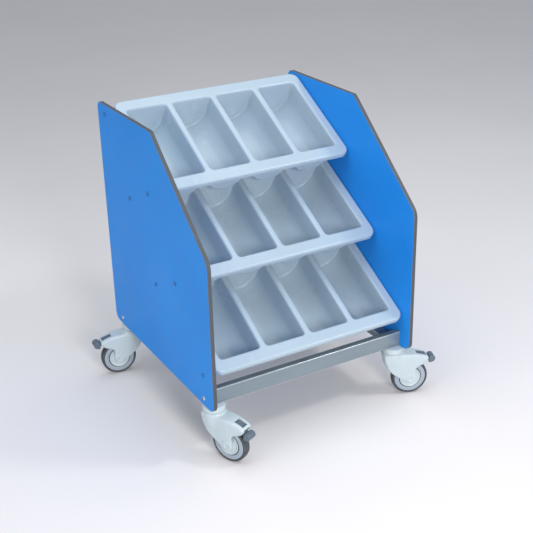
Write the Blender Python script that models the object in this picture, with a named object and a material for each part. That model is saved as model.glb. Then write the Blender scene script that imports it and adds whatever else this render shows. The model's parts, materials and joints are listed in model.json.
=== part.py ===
"""Cutlery-tray trolley: two side panels joined by tray bars and a tube frame, three tilted
four-compartment trays resting on the bars, and four swivel casters with brake pedals.

Frame: metres, +X to the user's right, +Y away from the user, +Z up, floor at Z = 0 under the
middle of the panels. One object is one piece; each has its own material.
"""

import math

import bmesh
import bpy
from mathutils import Matrix, Vector

# ---------------------------------------------------------------- driving dimensions (metres)
GAP = 0.0003                 # between touching pieces

FLOOR_TO_PANEL = 0.141       # underside of the panels and of the frame
PANEL_INNER = 0.546          # clear width between the panels
PANEL_T = 0.010
PANEL_D = 0.579
PANEL_H = 0.608
PANEL_FRONT_H = 0.377        # height of the upright front edge
PANEL_TOP_Y = 0.263          # from the front edge to where the level top begins
PANEL_R_BACK = 0.018         # corner radii of the panel outline
PANEL_R_BEND = 0.036
PANEL_R_FOOT = 0.022

TILT = math.radians(29.5)    # all three trays
TRAY_W = 0.532
TRAY_L = 0.308
TRAY_SHIFT = 0.0055          # the trays stand against the right-hand panel
TRAY_LIP = 0.015
TRAY_WALL = 0.003
TRAY_CORNER = 0.024
TRAY_EDGE = 0.004            # round between the flange and its lip
TROUGHS = 4
TROUGH_PITCH = 0.1245
TROUGH_MOUTH = 0.1075        # width across one compartment at the flange
TROUGH_DEPTH = 0.090
TROUGH_FRONT = 0.035         # flange widths ahead of and behind the compartments
TROUGH_REAR = 0.0335
TROUGH_EDGE = 0.006          # round at the mouth of a compartment
TROUGH_DRAFT = math.radians(5.0)
TROUGH_ARC_STEPS = 12
EDGE_STEPS = 2
# front edge of each tray's flange: (name, distance behind the panel front, above its underside)
TRAYS = (("top", 0.2698, 0.4565), ("middle", 0.1454, 0.2734), ("bottom", 0.0209, 0.0903))

BAR_R = 0.006                # round bars that carry the trays by the lips at their two sides
BAR_BORE_R = 0.003
BAR_FRONT_V = 0.0194         # bar positions along the tray's slope
BAR_REAR_V = 0.2935

TUBE_H = 0.040               # 40 x 20 tube, upright, across the front and rear
TUBE_T = 0.020
SIDE_TUBE_W = 0.030          # 30 x 20 tube, lying flat, along the sides
TUBE_WALL = 0.002
TUBE_PLUG = 0.008            # end plug that takes the panel screw
TUBE_INSET = 0.0388          # from the panel's front edge to the front tube's front face

SCREW_R = 0.0027
SCREW_HOLE_R = 0.0032
SCREW_HEAD_R = 0.0058
SCREW_HEAD_H = 0.0036
SCREW_LENGTH = 0.024

CASTER_X = 0.2585
CASTER_Y = PANEL_D / 2 - TUBE_INSET - TUBE_T / 2
# name, sign of x, sign of y, direction of trail in degrees, pedal pressed
CASTERS = (
    ("front_left", -1, -1, -64.0, True),
    ("front_right", 1, -1, -20.0, False),
    ("rear_left", -1, 1, 173.0, False),
    ("rear_right", 1, 1, 116.0, False),
)
TRAIL = 0.046
WHEEL_R = 0.0475
WHEEL_HALF = 0.0112
RIM_R = 0.0415
HUB_R = 0.0278
HUB_HALF = 0.0125
AXLE_R = 0.005
AXLE_REACH = 0.0165
STEM_R = 0.006
STEM_TOP = 0.014             # above the frame's underside
COLLAR_R = 0.0275
COLLAR_H = 0.0157
HOOD_HALF = 0.0225
HOOD_EDGE = 0.0022
HOOD_TIP_SLIM = 0.18         # how much narrower the hood is at its tip, and the fork at its foot
FORK_FOOT_SLIM = 0.17
KING_DEPTH = 0.038           # how far the stem reaches below the panel
FORK_HALF = 0.0138           # half width of the space for the wheel
PEDAL_PIVOT = (0.057, -0.037)
PEDAL_PIN_R = 0.003
PEDAL_PIN_REACH = 0.0170
PEDAL_HALF = 0.0085
PEDAL_TOE_HALF = 0.0135
PEDAL_PRESS = math.radians(15.0)
RUNNING = 0.00025            # radial clearance of the turning fits

BLUE = (0.045, 0.26, 0.69)
TRAY_GREY = (0.52, 0.60, 0.66)
STEEL_GREY = (0.28, 0.35, 0.38)
BRIGHT_STEEL = (0.62, 0.63, 0.64)
CASTER_WHITE = (0.58, 0.66, 0.70)
PEDAL_GREY = (0.10, 0.13, 0.16)
TYRE_GREY = (0.05, 0.055, 0.06)
RIM_GREY = (0.36, 0.42, 0.48)


# ---------------------------------------------------------------- helpers
def clear_scene():
    for obj in list(bpy.data.objects):
        bpy.data.objects.remove(obj, do_unlink=True)


def make_material(name, colour, roughness, metallic=0.0):
    mat = bpy.data.materials.new(name)
    mat.use_nodes = True
    shader = mat.node_tree.nodes["Principled BSDF"]
    shader.inputs["Base Color"].default_value = (*colour, 1.0)
    shader.inputs["Roughness"].default_value = roughness
    shader.inputs["Metallic"].default_value = metallic
    return mat


def make_object(name, bm, matrix=None, look=None, sharp=math.radians(34)):
    bmesh.ops.remove_doubles(bm, verts=bm.verts[:], dist=1e-6)
    bmesh.ops.dissolve_degenerate(bm, edges=bm.edges[:], dist=1e-6)
    bmesh.ops.recalc_face_normals(bm, faces=bm.faces[:])
    mesh = bpy.data.meshes.new(name)
    bm.to_mesh(mesh)
    bm.free()
    mesh.shade_smooth()
    mesh.set_sharp_from_angle(angle=sharp)
    obj = bpy.data.objects.new(name, mesh)
    bpy.context.scene.collection.objects.link(obj)
    if matrix is not None:
        obj.matrix_world = matrix
    if look is not None:
        mesh.materials.append(make_material(name, *look))
    return obj


def prism(outline, low, high, to_point, holes=()):
    """Solid between two parallel copies of a closed outline, with straight holes through it."""
    bm = bmesh.new()
    ends = []
    for level in (low, high):
        edges = []
        for loop in (outline, *holes):
            ring = [bm.verts.new(to_point(a, b, level)) for a, b in loop]
            edges.append([bm.edges.new((ring[i - 1], ring[i])) for i in range(len(ring))])
        bmesh.ops.triangle_fill(bm, use_beauty=True, edges=[e for ring in edges for e in ring])
        ends.append(edges)
    for lower, upper in zip(*ends):
        bmesh.ops.bridge_loops(bm, edges=lower + upper)
    return bm


def lathe(profile, segments, axis="Z"):
    """Closed profile of (radius, height) turned about an axis; radius 0 points close the ends."""
    bm = bmesh.new()
    rings = []
    for radius, height in profile:
        if radius < 1e-9:
            rings.append([bm.verts.new((0, 0, height))])
            continue
        turns = [2 * math.pi * (k + 0.5) / segments for k in range(segments)]
        rings.append([bm.verts.new((radius * math.cos(t), radius * math.sin(t), height)) for t in turns])
    for i, ring in enumerate(rings):
        nxt = rings[(i + 1) % len(rings)]
        if len(ring) == 1 and len(nxt) == 1:
            continue
        for k in range(segments):
            m = (k + 1) % segments
            if len(ring) == 1:
                bm.faces.new((ring[0], nxt[k], nxt[m]))
            elif len(nxt) == 1:
                bm.faces.new((ring[k], ring[m], nxt[0]))
            else:
                bm.faces.new((ring[k], ring[m], nxt[m], nxt[k]))
    if axis == "Y":
        bmesh.ops.rotate(bm, verts=bm.verts[:], matrix=Matrix.Rotation(math.radians(90), 3, "X"))
    if axis == "X":
        bmesh.ops.rotate(bm, verts=bm.verts[:], matrix=Matrix.Rotation(math.radians(90), 3, "Y"))
    return bm


def box(low, high):
    outline = ((low[0], low[1]), (high[0], low[1]), (high[0], high[1]), (low[0], high[1]))
    return prism(outline, low[2], high[2], lambda a, b, c: (a, b, c))


def combine(obj, bm, operation):
    """Boolean of obj with a tool mesh; the tool is thrown away and the result kept."""
    tool = make_object("tool", bm)
    tool.matrix_world = obj.matrix_world
    step = obj.modifiers.new("step", "BOOLEAN")
    step.object, step.operation, step.solver = tool, operation, "EXACT"
    bpy.context.view_layer.update()
    result = bpy.data.meshes.new_from_object(obj.evaluated_get(bpy.context.evaluated_depsgraph_get()))
    obj.modifiers.clear()
    obj.data = result
    bpy.data.objects.remove(tool, do_unlink=True)
    return obj


def rounded(points, radii, steps=5):
    """Outline with each corner replaced by an arc of its radius."""
    out = []
    for i, (corner, radius) in enumerate(zip(points, radii)):
        here = Vector(corner)
        before = (Vector(points[i - 1]) - here).normalized()
        after = (Vector(points[(i + 1) % len(points)]) - here).normalized()
        if radius <= 0:
            out.append(tuple(here))
            continue
        half = before.angle(after) / 2
        centre = here + (before + after).normalized() * (radius / math.sin(half))
        start = here + before * (radius / math.tan(half)) - centre
        finish = here + after * (radius / math.tan(half)) - centre
        turn = start.angle_signed(finish)
        for k in range(steps + 1):
            angle = -turn * k / steps
            out.append((centre.x + start.x * math.cos(angle) - start.y * math.sin(angle),
                        centre.y + start.x * math.sin(angle) + start.y * math.cos(angle)))
    return out


def inset(outline, distance):
    """Counter-clockwise outline moved inwards by a distance, corner by corner."""
    out = []
    for i, corner in enumerate(outline):
        here = Vector(corner)
        along = (here - Vector(outline[i - 1])).normalized()
        onward = (Vector(outline[(i + 1) % len(outline)]) - here).normalized()
        normal = Vector((-along.y - onward.y, along.x + onward.x)).normalized()
        out.append(tuple(here + normal * (distance / normal.dot(Vector((-along.y, along.x))))))
    return out


def soft_prism(outline, half, edge, to_point):
    """Prism whose two rims are rounded over by the given edge size."""
    levels = ((edge, half), (edge * 0.3, half - edge * 0.3), (0.0, half - edge))
    loops = [*levels, *((move, -level) for move, level in reversed(levels))]
    bm = bmesh.new()
    rings = [[bm.verts.new(to_point(a, b, level)) for a, b in inset(outline, move)] for move, level in loops]
    for ring, nxt in zip(rings, rings[1:]):
        for i in range(len(ring)):
            bm.faces.new((ring[i - 1], ring[i], nxt[i], nxt[i - 1]))
    for ring in (rings[0], rings[-1]):
        bm.faces.new(ring)
    return bm


def circle(centre, radius, segments):
    return [(centre[0] + radius * math.cos(2 * math.pi * k / segments),
             centre[1] + radius * math.sin(2 * math.pi * k / segments)) for k in range(segments)]


# ---------------------------------------------------------------- positions shared by the pieces
def world(y, z):
    """Distance behind the panel front and height above its underside to world Y, Z."""
    return y - PANEL_D / 2, z + FLOOR_TO_PANEL


def on_tray(y0, z0, v, w):
    """Point v along the slope and w out of the flange plane, in panel distances."""
    return (y0 + v * math.cos(TILT) - w * math.sin(TILT),
            z0 + v * math.sin(TILT) + w * math.cos(TILT))


BAR_W = -TRAY_LIP - GAP - BAR_R
BARS = [(f"bar_{name}_{end}", *on_tray(y0, z0, v, BAR_W))
        for name, y0, z0 in TRAYS for end, v in (("front", BAR_FRONT_V), ("rear", BAR_REAR_V))]
TUBE_SCREWS = [("tube_front", TUBE_INSET + TUBE_T / 2, TUBE_H / 2),
               ("tube_rear", PANEL_D - TUBE_INSET - TUBE_T / 2, TUBE_H / 2)]


# ---------------------------------------------------------------- side panels and frame
def build_panels():
    corners = ((0, 0), (PANEL_D, 0), (PANEL_D, PANEL_H), (PANEL_TOP_Y, PANEL_H), (0, PANEL_FRONT_H))
    radii = (PANEL_R_FOOT, PANEL_R_FOOT, PANEL_R_BACK, PANEL_R_BEND, PANEL_R_BEND)
    outline = [world(*p) for p in rounded(corners, radii)]
    holes = [circle(world(y, z), SCREW_HOLE_R, 12) for _, y, z in (*BARS, *TUBE_SCREWS)]
    for side, sign in (("left", -1), ("right", 1)):
        inner = sign * PANEL_INNER / 2
        outer = inner + sign * PANEL_T
        bm = prism(outline, inner, outer, lambda y, z, x: (x, y, z), holes)
        make_object(f"panel_{side}", bm, look=(BLUE, 0.35))


def build_bars():
    half = PANEL_INNER / 2 - GAP
    for name, y, z in BARS:
        profile = ((BAR_BORE_R, -half), (BAR_R, -half), (BAR_R, half), (BAR_BORE_R, half))
        place = Matrix.Translation((0, *world(y, z)))
        make_object(name, lathe(profile, 20, "X"), place, look=(STEEL_GREY, 0.4, 0.6))


def hollow_tube(name, size, plug, place):
    """Rectangular tube along X, with open ends or with end plugs that take the panel screws."""
    sx, sy, sz = (s / 2 for s in size)
    tube = make_object(name, box((-sx, -sy, -sz), (sx, sy, sz)), place, look=(STEEL_GREY, 0.4, 0.6))
    reach = sx - plug if plug else sx + TUBE_WALL
    wy, wz = sy - TUBE_WALL, sz - TUBE_WALL
    combine(tube, box((-reach, -wy, -wz), (reach, wy, wz)), "DIFFERENCE")
    if plug:
        pin = ((0, -sx - plug), (BAR_BORE_R, -sx - plug), (BAR_BORE_R, sx + plug), (0, sx + plug))
        combine(tube, lathe(pin, 12, "X"), "DIFFERENCE")
        for x in (-CASTER_X, CASTER_X):
            stem = circle((x, 0), STEM_R + GAP, 20)
            combine(tube, prism(stem, -sz - plug, -sz + plug, lambda a, b, c: (a, b, c)), "DIFFERENCE")


def build_frame():
    length = PANEL_INNER - 2 * GAP
    for name, y, z in TUBE_SCREWS:
        place = Matrix.Translation((0, *world(y, z)))
        hollow_tube(name, (length, TUBE_T, TUBE_H), TUBE_PLUG, place)
    run = PANEL_D - 2 * (TUBE_INSET + TUBE_T + GAP)
    for side, sign in (("left", -1), ("right", 1)):
        x = sign * (PANEL_INNER / 2 - GAP - SIDE_TUBE_W / 2)
        place = Matrix.Translation((x, 0, FLOOR_TO_PANEL + TUBE_T / 2)) @ Matrix.Rotation(math.pi / 2, 4, "Z")
        hollow_tube(f"tube_{side}", (run, SIDE_TUBE_W, TUBE_T), 0, place)


def build_screws():
    shaft, head = SCREW_R, SCREW_HEAD_R
    half = PANEL_INNER / 2 + PANEL_T + GAP
    profile = ((0, -SCREW_LENGTH), (shaft, -SCREW_LENGTH), (shaft, 0), (head, 0),
               (head * 0.94, SCREW_HEAD_H * 0.45), (head * 0.62, SCREW_HEAD_H * 0.85),
               (head * 0.42, SCREW_HEAD_H), (head * 0.34, SCREW_HEAD_H * 0.35), (0, SCREW_HEAD_H * 0.35))
    for side, sign in (("left", -1), ("right", 1)):
        for name, y, z in (*BARS, *TUBE_SCREWS):
            look = (BRIGHT_STEEL, 0.3, 1.0) if "tube" in name else (BLUE, 0.4, 0.3)
            turn = Matrix.Rotation(math.pi, 4, "Z") if sign < 0 else Matrix.Identity(4)
            place = Matrix.Translation((sign * half, *world(y, z))) @ turn
            make_object(f"screw_{side}_{name}", lathe(profile, 12, "X"), place, look=look)


# ---------------------------------------------------------------- trays
def trough_arc(mouth, depth):
    """Radius of the round bottom that meets both drafted side walls."""
    lean = math.tan(TROUGH_DRAFT)
    return (mouth / 2 - depth * lean) / (math.cos(TROUGH_DRAFT) - (1 - math.sin(TROUGH_DRAFT)) * lean)


def cross_section(offset):
    """(x, w) points across the compartments; offset moves the surface down into the underside."""
    radius = trough_arc(TROUGH_MOUTH, TROUGH_DEPTH) + offset
    edge = TROUGH_EDGE - offset
    base = -TROUGH_DEPTH + radius - offset
    lean = math.tan(TROUGH_DRAFT)
    wall_top = (radius * math.cos(TROUGH_DRAFT)
                + (-offset - base + radius * math.sin(TROUGH_DRAFT)) * lean)
    half = []
    for k in range(TROUGH_ARC_STEPS // 2 + 1):
        angle = (math.pi / 2 - TROUGH_DRAFT) * k / (TROUGH_ARC_STEPS // 2)
        half.append((radius * math.sin(angle), base - radius * math.cos(angle)))
    centre = wall_top - edge * lean + edge / math.cos(TROUGH_DRAFT)
    for k in range(EDGE_STEPS + 1):
        angle = TROUGH_DRAFT + (math.pi / 2 - TROUGH_DRAFT) * k / EDGE_STEPS
        half.append((centre - edge * math.cos(angle), -offset - edge + edge * math.sin(angle)))
    one = [(-x, w) for x, w in reversed(half[1:])] + half
    first = -(TROUGHS - 1) / 2 * TROUGH_PITCH
    return [(first + i * TROUGH_PITCH + x, w) for i in range(TROUGHS) for x, w in one]


def end_profile(offset):
    """(v, w) points from the flange over the edge and down a drafted end wall."""
    edge = TROUGH_EDGE - offset
    centre = -offset - edge / math.cos(TROUGH_DRAFT)
    points = []
    for k in range(EDGE_STEPS + 1):
        angle = math.pi / 2 - (math.pi / 2 - TROUGH_DRAFT) * k / EDGE_STEPS
        points.append((centre + edge * math.cos(angle), -offset - edge + edge * math.sin(angle)))
    return points


def compartments(bm, offset):
    """Surface of all compartments between the flange ends; returns its rectangular border loop."""
    section = cross_section(offset)
    profile = end_profile(offset)
    lean = math.tan(TROUGH_DRAFT)
    columns = []
    for x, w in section:
        side = []
        for v, level in profile:
            if level <= w:
                break
            side.append((v, level))
        last_v, last_w = (profile[len(side)] if len(side) < len(profile) else profile[-1])
        if len(side) == len(profile):
            foot = (last_v + (last_w - w) * lean, w)
        else:
            foot = (last_v, w) if not side else (side[-1][0] + (last_v - side[-1][0])
                                                 * (side[-1][1] - w) / (side[-1][1] - last_w), w)
        while len(side) < len(profile):
            side.append(foot)
        side.append(foot)
        if w >= -offset - 1e-9:
            side = [(v, w) for v, _ in profile] + [(profile[-1][0], w)]
        front = [bm.verts.new((x, TROUGH_FRONT + v, z)) for v, z in side]
        rear = [bm.verts.new((x, TRAY_L - TROUGH_REAR - v, z)) for v, z in side]
        columns.append(front + rear[::-1])
    for left, right in zip(columns, columns[1:]):
        for k in range(len(left) - 1):
            quad = (left[k], right[k], right[k + 1], left[k + 1])
            bm.faces.new(quad)
    border = [c[0] for c in columns] + columns[-1][1:] + [c[-1] for c in reversed(columns[:-1])]
    return border + columns[0][-2:0:-1]


def rim_loop(bm, inset, level):
    """Rounded rectangle of the tray's outline, moved inwards and placed at one level."""
    half = TRAY_W / 2 - inset
    corners = ((-half, inset), (half, inset), (half, TRAY_L - inset), (-half, TRAY_L - inset))
    ring = rounded(corners, (TRAY_CORNER - inset,) * 4, 5)
    return [bm.verts.new((x, v, level)) for x, v in ring]


def fill_between(bm, outer, inner):
    edges = [bm.edges.get((loop[i - 1], loop[i])) or bm.edges.new((loop[i - 1], loop[i]))
             for loop in (outer, inner) for i in range(len(loop))]
    bmesh.ops.triangle_fill(bm, use_beauty=True, edges=edges)


def build_trays():
    arc = [(TRAY_EDGE * (1 - math.sin(a)), -TRAY_EDGE * (1 - math.cos(a)))
           for a in (0, math.pi / 6, math.pi / 3, math.pi / 2)]
    inner_edge = TRAY_EDGE - TRAY_WALL
    rim = [*arc, (0, -TRAY_LIP), (TRAY_WALL, -TRAY_LIP), (TRAY_WALL, -TRAY_WALL - inner_edge),
           (TRAY_WALL + inner_edge, -TRAY_WALL)]
    for name, y0, z0 in TRAYS:
        bm = bmesh.new()
        upper, lower = compartments(bm, 0.0), compartments(bm, TRAY_WALL)
        bmesh.ops.remove_doubles(bm, verts=bm.verts[:], dist=1e-6)
        upper, lower = ([v for v in loop if v.is_valid] for loop in (upper, lower))
        loops = [rim_loop(bm, inset, level) for inset, level in rim]
        for a, b in zip(loops, loops[1:]):
            for i in range(len(a)):
                bm.faces.new((a[i - 1], a[i], b[i], b[i - 1]))
        fill_between(bm, loops[0], upper)
        fill_between(bm, loops[-1], lower)
        y, z = world(y0, z0)
        place = Matrix.Translation((TRAY_SHIFT, y, z)) @ Matrix.Rotation(TILT, 4, "X")
        make_object(f"tray_{name}", bm, place, look=(TRAY_GREY, 0.32))


# ---------------------------------------------------------------- casters
HOOD_OUTLINE = (  # side view of the swivel housing: distance along the trail, below the panel
    (-0.0258, -0.0225), (-0.0255, -0.0290), (-0.0235, -0.0400), (-0.0175, -0.0550),
    (-0.0075, -0.0715), (0.0120, -0.0870), (0.0340, -0.1035), (0.0390, -0.1060),
    (0.0480, -0.1068), (0.0555, -0.1030), (0.0592, -0.0960), (0.0598, -0.0860),
    (0.0585, -0.0700), (0.0620, -0.0635), (0.0690, -0.0600), (0.0800, -0.0565),
    (0.0880, -0.0520), (0.0930, -0.0455), (0.0940, -0.0385), (0.0905, -0.0340),
    (0.0720, -0.0270), (0.0520, -0.0232), (0.0300, -0.0225),
)
HOOD_TIP = 0.094
FORK_FOOT = -0.107
CROWN = ((0, -0.0160), (0.0262, -0.0160), (0.0272, -0.0172), (0.0272, -0.0270), (0.0258, -0.0380),
         (0.0225, -0.0500), (0.0180, -0.0580), (0, -0.0580))
PEDAL_OUTLINE = (  # arm with the release pad on top and the brake shoe below
    (0.0525, -0.0345), (0.0610, -0.0330), (0.0640, -0.0325), (0.0640, -0.0290), (0.0875, -0.0355),
    (0.0875, -0.0387), (0.0920, -0.0407), (0.0970, -0.0407), (0.0970, -0.0500), (0.0880, -0.0480),
    (0.0760, -0.0460), (0.0740, -0.0475), (0.0690, -0.0472), (0.0660, -0.0445), (0.0620, -0.0440),
    (0.0535, -0.0420),
)
TOE_OUTLINE = (
    (0.0950, -0.0380), (0.1035, -0.0352), (0.1100, -0.0376), (0.1130, -0.0445), (0.1104, -0.0518),
    (0.1018, -0.0557), (0.0950, -0.0550),
)
PEDAL_ROOM = ((0.0495, -0.0302), (0.0640, -0.0312), (0.0875, -0.0382), (0.0940, -0.0402),
              (0.1100, -0.0402), (0.1100, -0.0750), (0.0495, -0.0650))
WINDOW = (0.0630, 0.0885, 0.0095)        # opening over the pedal's release pad: from, to, half width


def side_view(x, z, y):
    return x, y, z


def slimmed(co):
    """Hood and fork narrow towards the hood's tip and the fork's foot."""
    tip = min(max((co.x - TRAIL) / (HOOD_TIP - TRAIL), 0.0), 1.0)
    foot = min(max((co.z + KING_DEPTH) / (FORK_FOOT + KING_DEPTH), 0.0), 1.0)
    return co.y * (1.0 - HOOD_TIP_SLIM * tip - FORK_FOOT_SLIM * foot)


def caster_housing(name, place):
    axle_x, axle_z = TRAIL, WHEEL_R - FLOOR_TO_PANEL
    bm = soft_prism(HOOD_OUTLINE, HOOD_HALF, HOOD_EDGE, side_view)
    for vert in bm.verts:
        vert.co.y = slimmed(vert.co)
    body = make_object(name, bm, place, look=(CASTER_WHITE, 0.35))
    combine(body, lathe(CROWN, 28), "UNION")
    room = WHEEL_R + 0.0025
    arch = [(axle_x + room * math.cos(math.radians(a)), axle_z + room * math.sin(math.radians(a)))
            for a in range(190, 60, -13)]
    low, out = FORK_FOOT - 0.015, HOOD_TIP + 0.016
    pocket = (*arch, (0.073, -0.0420), (out, -0.0520), (out, low), (axle_x - 0.03, low))
    combine(body, prism(pocket, -FORK_HALF, FORK_HALF, side_view), "DIFFERENCE")
    room = PEDAL_HALF + 0.0025
    combine(body, prism(PEDAL_ROOM, -room, room, side_view), "DIFFERENCE")
    near, far, side = WINDOW
    combine(body, box((near, -side, -0.05), (far, side, 0.0)), "DIFFERENCE")
    bores = (((axle_x, axle_z), AXLE_R + GAP, AXLE_REACH + 0.0007),
             (PEDAL_PIVOT, PEDAL_PIN_R + GAP, PEDAL_PIN_REACH + 0.0007))
    for centre, radius, reach in bores:
        combine(body, prism(circle(centre, radius, 20), -reach, reach, side_view), "DIFFERENCE")
    king = STEM_R + RUNNING
    bore = ((0, -KING_DEPTH - 0.002), (king, -KING_DEPTH - 0.002), (king, 0), (0, 0))
    combine(body, lathe(bore, 32), "DIFFERENCE")
    body.data.shade_smooth()
    body.data.set_sharp_from_angle(angle=math.radians(34))


def caster_pedal(name, place):
    px, pz = PEDAL_PIVOT
    local = [(x - px, z - pz) for x, z in PEDAL_OUTLINE]
    toe = [(x - px, z - pz) for x, z in TOE_OUTLINE]
    body = make_object(name, prism(local, -PEDAL_HALF, PEDAL_HALF, side_view), place, look=(PEDAL_GREY, 0.55))
    combine(body, prism(toe, -PEDAL_TOE_HALF, PEDAL_TOE_HALF, side_view), "UNION")
    pin = prism(circle((0, 0), PEDAL_PIN_R, 16), -PEDAL_PIN_REACH, PEDAL_PIN_REACH, side_view)
    combine(body, pin, "UNION")
    body.data.shade_smooth()
    body.data.set_sharp_from_angle(angle=math.radians(34))


def build_caster(label, sx, sy, heading, pressed):
    swivel = (Matrix.Translation((sx * CASTER_X, sy * CASTER_Y, FLOOR_TO_PANEL))
              @ Matrix.Rotation(math.radians(heading), 4, "Z"))
    collar = ((0, -KING_DEPTH), (STEM_R, -KING_DEPTH), (STEM_R, -COLLAR_H), (COLLAR_R - 0.003, -COLLAR_H),
              (COLLAR_R, -COLLAR_H + 0.003), (COLLAR_R - 0.0005, -0.0060), (COLLAR_R - 0.002, -0.0035),
              (COLLAR_R - 0.0045, -GAP), (STEM_R, -GAP), (STEM_R, STEM_TOP), (0, STEM_TOP))
    make_object(f"caster_{label}_collar", lathe(collar, 32), swivel, look=(CASTER_WHITE, 0.35))
    caster_housing(f"caster_{label}_housing", swivel)
    axle = swivel @ Matrix.Translation((TRAIL, 0, WHEEL_R - FLOOR_TO_PANEL))
    profile = ((0, -AXLE_REACH), (AXLE_R, -AXLE_REACH), (AXLE_R, AXLE_REACH), (0, AXLE_REACH))
    make_object(f"caster_{label}_axle", lathe(profile, 20, "Y"), axle, look=(BRIGHT_STEEL, 0.3, 1.0))
    side = ((AXLE_R + RUNNING, HUB_HALF), (HUB_R - 0.002, HUB_HALF), (HUB_R, HUB_HALF - 0.0015),
            (HUB_R + 0.0005, WHEEL_HALF - 0.003), (HUB_R + 0.0020, WHEEL_HALF - 0.003),
            (HUB_R + 0.0025, WHEEL_HALF - 0.001), (RIM_R - 0.0015, WHEEL_HALF - 0.0005),
            (RIM_R - GAP, WHEEL_HALF - 0.002))
    core = (*((r, h) for r, h in side), *((r, -h) for r, h in reversed(side)))
    make_object(f"caster_{label}_wheel", lathe(core, 32, "Y"), axle, look=(RIM_GREY, 0.4))
    side = ((RIM_R, WHEEL_HALF - 0.0005), (WHEEL_R - 0.0035, WHEEL_HALF), (WHEEL_R - 0.0010, WHEEL_HALF - 0.002),
            (WHEEL_R, WHEEL_HALF - 0.0055))
    tread = (*((r, h) for r, h in side), *((r, -h) for r, h in reversed(side)))
    make_object(f"caster_{label}_tyre", lathe(tread, 36, "Y"), axle, look=(TYRE_GREY, 0.7))
    pivot = swivel @ Matrix.Translation((PEDAL_PIVOT[0], 0, PEDAL_PIVOT[1]))
    if pressed:
        pivot = pivot @ Matrix.Rotation(PEDAL_PRESS, 4, "Y")
    caster_pedal(f"caster_{label}_pedal", pivot)


def main():
    clear_scene()
    build_panels()
    build_bars()
    build_frame()
    build_screws()
    build_trays()
    for spec in CASTERS:
        build_caster(*spec)


main()
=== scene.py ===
"""Looks of the cutlery-tray trolley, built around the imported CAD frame.

Every piece is made in mesh code in metres, in the frame's own axes, and rides on a CAD body.
Places come from the frame's boxes, joints and mounts; the constants below are shapes and finishes.
"""

import json
import math

import bmesh
import bpy
import numpy as np
from mathutils import Matrix, Vector


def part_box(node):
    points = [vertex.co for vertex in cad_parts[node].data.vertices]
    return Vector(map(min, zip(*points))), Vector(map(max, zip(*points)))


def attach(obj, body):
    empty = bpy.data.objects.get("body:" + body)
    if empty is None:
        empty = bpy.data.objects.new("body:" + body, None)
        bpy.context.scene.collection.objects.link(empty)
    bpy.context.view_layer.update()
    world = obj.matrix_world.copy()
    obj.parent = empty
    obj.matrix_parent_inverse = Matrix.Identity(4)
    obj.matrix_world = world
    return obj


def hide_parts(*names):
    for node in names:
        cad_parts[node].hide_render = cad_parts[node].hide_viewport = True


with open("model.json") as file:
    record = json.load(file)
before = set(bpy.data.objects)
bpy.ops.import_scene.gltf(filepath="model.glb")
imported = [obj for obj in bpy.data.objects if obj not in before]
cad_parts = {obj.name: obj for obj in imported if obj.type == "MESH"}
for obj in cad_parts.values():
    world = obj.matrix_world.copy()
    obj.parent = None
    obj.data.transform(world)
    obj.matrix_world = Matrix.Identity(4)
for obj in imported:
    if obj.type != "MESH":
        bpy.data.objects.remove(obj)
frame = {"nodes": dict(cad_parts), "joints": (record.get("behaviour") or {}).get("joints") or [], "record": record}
RECORD = frame["record"]
JOINTS = {j["name"]: j for j in frame["joints"]}
MOUNTS = {m["name"]: m for m in RECORD["mounts"]}
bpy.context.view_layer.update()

# ---------------------------------------------------------------- shapes (metres and degrees; the lens in mm)
CAMERA_PLACE = (-1.15607, -2.09102, 1.42824)
CAMERA_AZIMUTH, CAMERA_ELEVATION, CAMERA_ROLL = -29.52, 24.61, -1.33
CAMERA_LENS, CAMERA_SENSOR = 69.27, 36.0

TRAY_LENGTH, TRAY_LIP, TRAY_WALL, TRAY_CORNER, TRAY_EDGE = 0.308, 0.015, 0.003, 0.024, 0.0045
TROUGHS, TROUGH_PITCH, TROUGH_MOUTH, TROUGH_DEPTH = 4, 0.1245, 0.1075, 0.090
TROUGH_FRONT, TROUGH_REAR = 0.035, 0.0335
TROUGH_EDGE = 0.006
TROUGH_DRAFT = math.radians(5.0)
TROUGH_FILLET = 0.0035            # between the end walls and the round bottom
MOUTH_CORNER = 0.0085
EDGE_STEPS, WALL_STEPS, BOTTOM_STEPS = 6, 4, 20      # levels down one compartment
MOUNT_V = 0.014                   # how far up the flange the rim mounts sit

PANEL_FRONT_H, PANEL_TOP_Y = 0.377, 0.263
PANEL_R_BACK, PANEL_R_BEND, PANEL_R_FOOT = 0.018, 0.036, 0.022
PANEL_ARRIS = 0.0007

TUBE_ROUND, TUBE_WALL, CORNER_STEPS = 0.0030, 0.002, 5
HIGHLIGHT_STRIPS = (2, 3, 4)                # strips of each rolled tube corner painted lighter, a painted highlight along the arris
BAR_BORE, BAR_EASE = 0.00285, 0.0005
WELD_BEAD, WELD_STEPS, WELD_INSET = 0.0016, 34, 0.003
SCREW_SHAFT, SCREW_RISE, SCREW_EASE, SOCKET_R = 0.0027, 0.0034, 0.0003, 0.0021


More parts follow.
